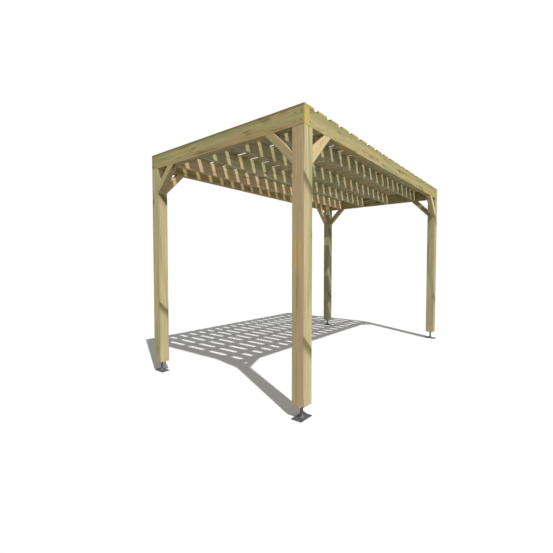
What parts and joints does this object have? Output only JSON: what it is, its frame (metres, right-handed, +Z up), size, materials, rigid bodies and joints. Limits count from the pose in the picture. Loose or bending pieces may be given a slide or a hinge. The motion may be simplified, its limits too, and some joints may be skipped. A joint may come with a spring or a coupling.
{
  "type": "wooden pergola",
  "caption": "Free-standing rectangular garden pergola: posts on steel feet, a beam ring with rafters, a flat roof of spaced slats and corner knee braces.",
  "frame": {"origin": "on the ground under the middle of the roof", "axes": "+X along the length, -Y is the front, +Z up"},
  "size_m": [4.08, 2.19, 2.544],
  "materials": {
    "post_timber": "planed softwood, pressure treated, faintly green",
    "beam_timber": "planed softwood, pressure treated, faintly green",
    "slat_timber": "planed softwood boards, pressure treated",
    "brace_timber": "planed softwood, pressure treated",
    "foot_steel": "dark grey satin coating"
  },
  "bodies": {
    "root": {"post_front_left": "post_timber", "post_front_right": "post_timber", "post_back_left": "post_timber", "post_back_right": "post_timber", "foot_front_left": "foot_steel", "foot_front_right": "foot_steel", "foot_back_left": "foot_steel", "foot_back_right": "foot_steel", "beam_front": "beam_timber", "beam_back": "beam_timber", "beam_left": "beam_timber", "beam_right": "beam_timber", "rafter_1": "beam_timber", "rafter_2": "beam_timber", "rafter_3": "beam_timber", "rafter_4": "beam_timber", "slat_01": "slat_timber", "slat_02": "slat_timber", "slat_03": "slat_timber", "slat_04": "slat_timber", "slat_05": "slat_timber", "slat_06": "slat_timber", "slat_07": "slat_timber", "slat_08": "slat_timber", "slat_09": "slat_timber", "slat_10": "slat_timber", "slat_11": "slat_timber", "slat_12": "slat_timber", "slat_13": "slat_timber", "slat_14": "slat_timber", "slat_15": "slat_timber", "slat_16": "slat_timber", "slat_17": "slat_timber", "slat_18": "slat_timber", "slat_19": "slat_timber", "slat_20": "slat_timber", "brace_front_left": "brace_timber", "brace_front_right": "brace_timber", "brace_back_left": "brace_timber", "brace_back_right": "brace_timber", "brace_left_front": "brace_timber", "brace_right_front": "brace_timber", "brace_left_back": "brace_timber", "brace_right_back": "brace_timber"}
  },
  "joints": []
}
